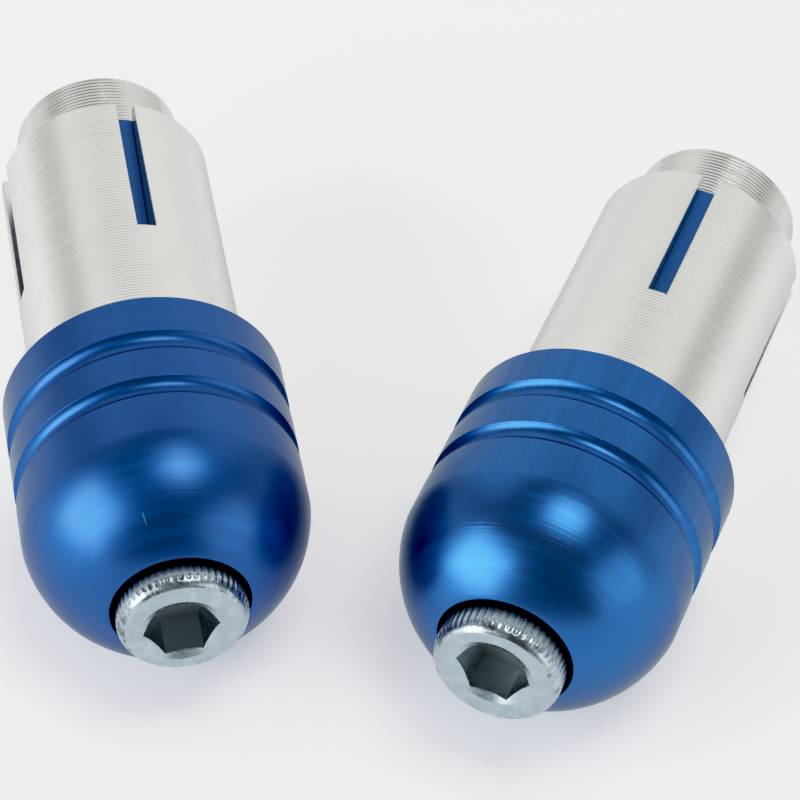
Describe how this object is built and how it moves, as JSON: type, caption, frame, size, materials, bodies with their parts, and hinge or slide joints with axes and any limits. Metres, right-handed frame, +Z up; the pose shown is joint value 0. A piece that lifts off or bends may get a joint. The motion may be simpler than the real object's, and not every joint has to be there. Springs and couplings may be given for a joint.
{
  "type": "bar end plug pair",
  "caption": "Pair of expanding handlebar end plugs: domed grooved metal end cap, slotted sleeve, expander cone and end nut drawn up by a socket screw.",
  "frame": {"origin": "centre of the pair's footprint on the ground plane", "axes": "+Z up, +Y from the noses towards the cone ends, +X from the left plug to the right plug"},
  "size_m": [0.0656, 0.0572, 0.022],
  "materials": {
    "anodised_blue": "satin blue anodising over fine lathe rings",
    "turned_aluminium": "bare aluminium with fine turned rings",
    "zinc_steel": "bright zinc plated steel"
  },
  "bodies": {
    "plugs": {"left_end_cap": "anodised_blue", "left_slotted_sleeve": "turned_aluminium", "right_end_cap": "anodised_blue", "right_slotted_sleeve": "turned_aluminium"},
    "left_screw": {"left_socket_screw": "zinc_steel"},
    "left_expander": {"left_expander_cone": "anodised_blue", "left_end_nut": "turned_aluminium"},
    "right_screw": {"right_socket_screw": "zinc_steel"},
    "right_expander": {"right_expander_cone": "anodised_blue", "right_end_nut": "turned_aluminium"}
  },
  "joints": [
    {"name": "left_screw_turn", "type": "hinge", "parent": "plugs", "child": "left_screw", "pos_m": [-0.01786, -0.00309, 0.011], "axis": [-0.2672, 0.9636, 0], "range_deg": [-1425, 425]},
    {"name": "left_expander_slide", "type": "slide", "parent": "plugs", "child": "left_expander", "axis": [0.2672, -0.9636, 0], "range_m": [-0.004, 0.0012]},
    {"name": "right_screw_turn", "type": "hinge", "parent": "plugs", "child": "right_screw", "pos_m": [0.01786, -0.00402, 0.011], "axis": [0.2672, 0.9636, 0], "range_deg": [-1425, 425]},
    {"name": "right_expander_slide", "type": "slide", "parent": "plugs", "child": "right_expander", "axis": [-0.2672, -0.9636, 0], "range_m": [-0.004, 0.0012]}
  ],
  "couplings": [
    {"joint": "left_expander_slide", "follows": "left_screw_turn", "m_per_rad": 0.00015915},
    {"joint": "right_expander_slide", "follows": "right_screw_turn", "m_per_rad": 0.00015915}
  ]
}
